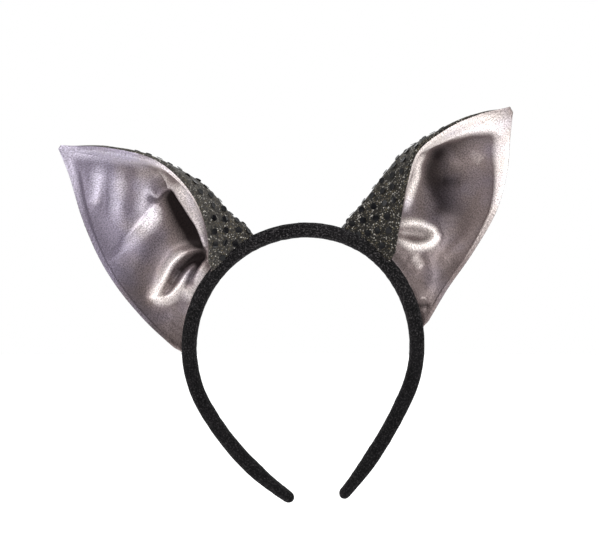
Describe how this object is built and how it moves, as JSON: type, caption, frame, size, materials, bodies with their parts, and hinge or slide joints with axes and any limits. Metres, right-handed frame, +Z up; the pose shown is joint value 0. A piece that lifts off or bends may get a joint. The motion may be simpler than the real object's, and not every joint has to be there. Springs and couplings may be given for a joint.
{
  "type": "animal ears headband",
  "caption": "Padded spring headband in black knit with cupped satin animal ears whose backs are sequin cloth.",
  "frame": {"origin": "the point on the inside of the band that rests on the top of the head", "axes": "+Z up, +X towards the right of the front view, -Y towards the front, where the satin faces"},
  "size_m": [0.2426, 0.0342, 0.2114],
  "materials": {
    "core_plastic": "plain moulded",
    "band_foam": "soft foam",
    "knit_cover": "fine black knit",
    "thread": "spun thread",
    "ear_foam": "laminated foam",
    "satin": "glossy mauve grey satin",
    "seam_cloth": "turned satin edge",
    "sequin_cloth": "charcoal knit with glitter yarn",
    "sequin": "flat glossy black disc"
  },
  "bodies": {
    "crown": {"crown_core": "core_plastic", "crown_foam": "band_foam", "crown_cover": "knit_cover"},
    "left_arm": {"left_arm_core": "core_plastic", "left_arm_foam": "band_foam", "left_arm_cover": "knit_cover", "left_base_stitches": "thread"},
    "left_ear": {"left_ear_foam_stiffener": "ear_foam", "left_ear_satin_front": "satin", "left_ear_sequin_back": "sequin_cloth", "left_ear_sequins": "sequin", "left_ear_edge_seams": "seam_cloth"},
    "right_arm": {"right_arm_core": "core_plastic", "right_arm_foam": "band_foam", "right_arm_cover": "knit_cover", "right_base_stitches": "thread"},
    "right_ear": {"right_ear_foam_stiffener": "ear_foam", "right_ear_satin_front": "satin", "right_ear_sequin_back": "sequin_cloth", "right_ear_sequins": "sequin", "right_ear_edge_seams": "seam_cloth"}
  },
  "joints": [
    {"name": "left_arm_flex", "type": "hinge", "parent": "crown", "child": "left_arm", "pos_m": [-0.0153, 0, 0.00155], "axis": [0, 1, 0], "range_deg": [-4, 20], "stiffness_Nm_per_rad": 0.85},
    {"name": "right_arm_flex", "type": "hinge", "parent": "crown", "child": "right_arm", "pos_m": [0.00848, 0, 0.0033], "axis": [0, -1, 0], "range_deg": [-4, 20], "stiffness_Nm_per_rad": 0.85},
    {"name": "left_ear_flop", "type": "hinge", "parent": "left_arm", "child": "left_ear", "pos_m": [-0.0528, 0, -0.02721], "axis": [0.5098, 0, 0.8603], "range_deg": [-20, 20], "stiffness_Nm_per_rad": 0.08},
    {"name": "right_ear_flop", "type": "hinge", "parent": "right_arm", "child": "right_ear", "pos_m": [0.04705, 0, -0.01854], "axis": [-0.6204, 0, 0.7843], "range_deg": [-20, 20], "stiffness_Nm_per_rad": 0.08}
  ]
}
